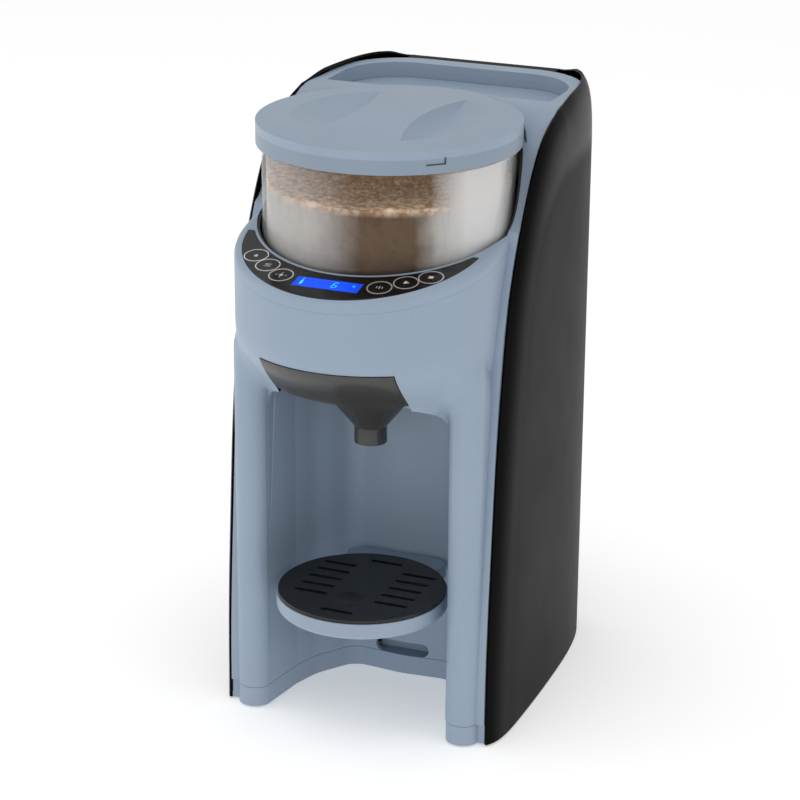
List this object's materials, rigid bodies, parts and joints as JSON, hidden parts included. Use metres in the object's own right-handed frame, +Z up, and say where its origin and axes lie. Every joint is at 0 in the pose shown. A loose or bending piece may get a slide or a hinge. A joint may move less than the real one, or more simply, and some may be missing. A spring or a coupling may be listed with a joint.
{
  "type": "infant formula dispenser",
  "caption": "Counter-top infant formula dispenser: round clear powder container under a lid, crescent control panel, funnel and bottle tray in an open alcove, rear water tank.",
  "frame": {"origin": "on the floor under the middle of the machine's box", "axes": "+X to the viewer's right when facing the front, front faces -Y, +Z up"},
  "size_m": [0.174, 0.252, 0.3531],
  "materials": {
    "blue_plastic": "satin moulded ABS, steel blue",
    "black_side": "satin dark grey moulded panel",
    "black_gloss": "piano black",
    "clear_plastic": "clear copolyester",
    "smoke_plastic": "smoky translucent copolyester",
    "tank_plastic": "tinted clear copolyester",
    "key_black": "black keycap",
    "bezel_silver": "thin bright ring",
    "screen": "backlit blue window",
    "lcd": "display module",
    "circuit_board": "green solder mask",
    "grey_rubber": "soft rubber",
    "white_plastic": "white acetal",
    "grey_plastic": "dark grey ABS",
    "steel": "plated steel",
    "heater_metal": "cast aluminium",
    "silicone": "translucent silicone",
    "grille_black": "satin black"
  },
  "bodies": {
    "machine": {"base_plate": "blue_plastic", "rubber_feet": "grey_rubber", "front_housing": "blue_plastic", "top_housing": "blue_plastic", "container_well": "grey_plastic", "side_panel_left": "black_side", "side_panel_right": "black_side", "side_trim_left": "black_gloss", "side_trim_right": "black_gloss", "rear_cover": "black_side", "control_fascia": "black_gloss", "display_window": "screen", "lcd_module": "lcd", "button_bezels": "bezel_silver", "button_domes": "silicone", "control_board": "circuit_board", "gear_motor": "steel", "chassis": "grey_plastic", "motor_standoffs": "steel", "powder_chute": "grey_plastic", "tank_seat": "grey_plastic", "water_pump": "grey_plastic", "flow_heater": "heater_metal", "heater_brackets": "steel", "suction_hose": "silicone", "pressure_hose": "silicone", "outlet_hose": "silicone", "water_nozzle": "grey_plastic", "power_board": "circuit_board", "board_standoffs": "steel", "board_screws": "steel", "power_inlet": "grey_plastic", "switch_frame": "grey_plastic"},
    "container": {"powder_container": "clear_plastic"},
    "powder_wheel": {"powder_wheel": "white_plastic", "stirrer": "steel"},
    "lid_ring": {"lid_seal": "silicone"},
    "lid": {"powder_lid": "blue_plastic"},
    "drive": {"drive_gear": "white_plastic", "drive_shaft": "steel"},
    "pinion": {"motor_pinion": "white_plastic", "motor_shaft": "steel"},
    "funnel": {"mixing_funnel": "smoke_plastic"},
    "tray": {"bottle_tray": "blue_plastic"},
    "grille": {"drip_grille": "grille_black"},
    "tank": {"water_tank": "tank_plastic", "tank_seal": "silicone"},
    "tank_lid": {"tank_lid": "blue_plastic"},
    "tank_valve": {"tank_valve": "white_plastic"},
    "rocker": {"power_switch": "black_gloss"},
    "button_1": {"button_1": "key_black"},
    "button_2": {"button_2": "key_black"},
    "button_3": {"button_3": "key_black"},
    "button_4": {"button_4": "key_black"},
    "button_5": {"button_5": "key_black"},
    "button_6": {"button_6": "key_black"}
  },
  "joints": [
    {"name": "container_lift", "type": "slide", "parent": "machine", "child": "container", "axis": [0, 0, 1], "range_m": [0, 0.11]},
    {"name": "lid_lift", "type": "slide", "parent": "container", "child": "lid_ring", "axis": [0, 0, 1], "range_m": [0, 0.06]},
    {"name": "lid_twist", "type": "hinge", "parent": "lid_ring", "child": "lid", "pos_m": [0, -0.024, 0.345], "axis": [0, 0, 1], "range_deg": [0, 30]},
    {"name": "wheel_spin", "type": "hinge", "parent": "container", "child": "powder_wheel", "pos_m": [0, -0.024, 0.265], "axis": [0, 0, 1], "continuous": true},
    {"name": "drive_spin", "type": "hinge", "parent": "machine", "child": "drive", "pos_m": [0, -0.024, 0.248], "axis": [0, 0, 1], "continuous": true},
    {"name": "pinion_spin", "type": "hinge", "parent": "machine", "child": "pinion", "pos_m": [0.021, -0.024, 0.248], "axis": [0, 0, 1], "continuous": true},
    {"name": "funnel_slide", "type": "slide", "parent": "machine", "child": "funnel", "axis": [0, -1, 0], "range_m": [0, 0.12]},
    {"name": "tray_slide", "type": "slide", "parent": "machine", "child": "tray", "axis": [0, -1, 0], "range_m": [0, 0.1]},
    {"name": "grille_lift", "type": "slide", "parent": "tray", "child": "grille", "axis": [0, 0, 1], "range_m": [0, 0.05]},
    {"name": "tank_lift", "type": "slide", "parent": "machine", "child": "tank", "axis": [0, 0, 1], "range_m": [0, 0.3]},
    {"name": "tank_lid_lift", "type": "slide", "parent": "tank", "child": "tank_lid", "axis": [0, 0, 1], "range_m": [0, 0.08]},
    {"name": "valve_lift", "type": "slide", "parent": "tank", "child": "tank_valve", "axis": [0, 0, 1], "range_m": [0, 0.003]},
    {"name": "rocker_tilt", "type": "hinge", "parent": "machine", "child": "rocker", "pos_m": [0.024, 0.1208, 0.035], "axis": [1, 0, 0], "range_deg": [-8, 8]},
    {"name": "button_1_press", "type": "slide", "parent": "machine", "child": "button_1", "axis": [0, 0.1961, -0.9806], "range_m": [0, 0.0007], "stiffness_N_per_m": 900, "springref_m": -0.0003},
    {"name": "button_2_press", "type": "slide", "parent": "machine", "child": "button_2", "axis": [0, 0.1961, -0.9806], "range_m": [0, 0.0007], "stiffness_N_per_m": 900, "springref_m": -0.0003},
    {"name": "button_3_press", "type": "slide", "parent": "machine", "child": "button_3", "axis": [0, 0.1961, -0.9806], "range_m": [0, 0.0007], "stiffness_N_per_m": 900, "springref_m": -0.0003},
    {"name": "button_4_press", "type": "slide", "parent": "machine", "child": "button_4", "axis": [0, 0.1961, -0.9806], "range_m": [0, 0.0007], "stiffness_N_per_m": 900, "springref_m": -0.0003},
    {"name": "button_5_press", "type": "slide", "parent": "machine", "child": "button_5", "axis": [0, 0.1961, -0.9806], "range_m": [0, 0.0007], "stiffness_N_per_m": 900, "springref_m": -0.0003},
    {"name": "button_6_press", "type": "slide", "parent": "machine", "child": "button_6", "axis": [0, 0.1961, -0.9806], "range_m": [0, 0.0007], "stiffness_N_per_m": 900, "springref_m": -0.0003}
  ],
  "couplings": [
    {"joint": "pinion_spin", "follows": "drive_spin", "ratio": -2.5},
    {"joint": "wheel_spin", "follows": "drive_spin", "ratio": 1}
  ]
}
